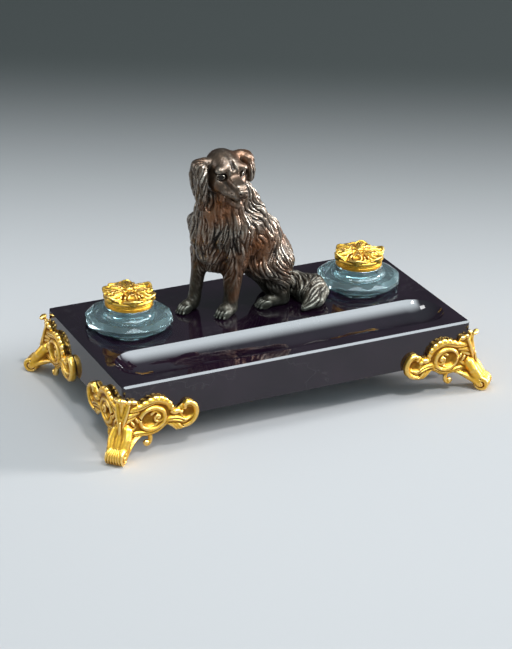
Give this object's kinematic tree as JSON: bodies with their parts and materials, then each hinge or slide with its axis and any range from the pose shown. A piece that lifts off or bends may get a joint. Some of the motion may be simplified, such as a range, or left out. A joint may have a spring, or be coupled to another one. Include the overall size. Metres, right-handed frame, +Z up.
{
  "type": "desk inkstand",
  "caption": "Stone slab on four gilt corner feet with a pen groove, two lidded cut-glass inkwells and a seated bronze dog.",
  "frame": {"origin": "centre of the footprint on the table, at the soles of the feet", "axes": "+X along the slab to the right, -Y towards the pen groove, +Z up"},
  "size_m": [0.3402, 0.1928, 0.1925],
  "materials": {
    "marble": "black marble, high polish",
    "gilt": "mercury-gilt cast brass, burnished high points",
    "glass": "clear cut crystal",
    "bronze": "cast bronze, dark brown patina rubbed warm on the high points",
    "brass_plain": "turned brass",
    "steel": "turned steel",
    "cement": "set plaster"
  },
  "bodies": {
    "base": {"slab": "marble", "foot_front_left": "gilt", "foot_front_right": "gilt", "foot_back_left": "gilt", "foot_back_right": "gilt", "foot_plugs": "brass_plain", "foot_screws": "steel", "dog": "bronze", "dog_studs": "steel", "dog_washers": "steel", "dog_nuts": "brass_plain"},
    "well_left": {"inkwell_left": "glass", "cement_left": "cement", "collar_left": "gilt", "hinge_pin_left": "brass_plain"},
    "lid_left": {"lid_left": "gilt"},
    "well_right": {"inkwell_right": "glass", "cement_right": "cement", "collar_right": "gilt", "hinge_pin_right": "brass_plain"},
    "lid_right": {"lid_right": "gilt"}
  },
  "joints": [
    {"name": "well_left_lift", "type": "slide", "parent": "base", "child": "well_left", "axis": [0, 0, 1], "range_m": [0, 0.045]},
    {"name": "lid_left_hinge", "type": "hinge", "parent": "well_left", "child": "lid_left", "pos_m": [-0.1025, 0.04665, 0.0808], "axis": [-1, 0, 0], "range_deg": [0, 105]},
    {"name": "well_right_lift", "type": "slide", "parent": "base", "child": "well_right", "axis": [0, 0, 1], "range_m": [0, 0.045]},
    {"name": "lid_right_hinge", "type": "hinge", "parent": "well_right", "child": "lid_right", "pos_m": [0.1025, 0.04665, 0.0808], "axis": [-1, 0, 0], "range_deg": [0, 105]}
  ]
}
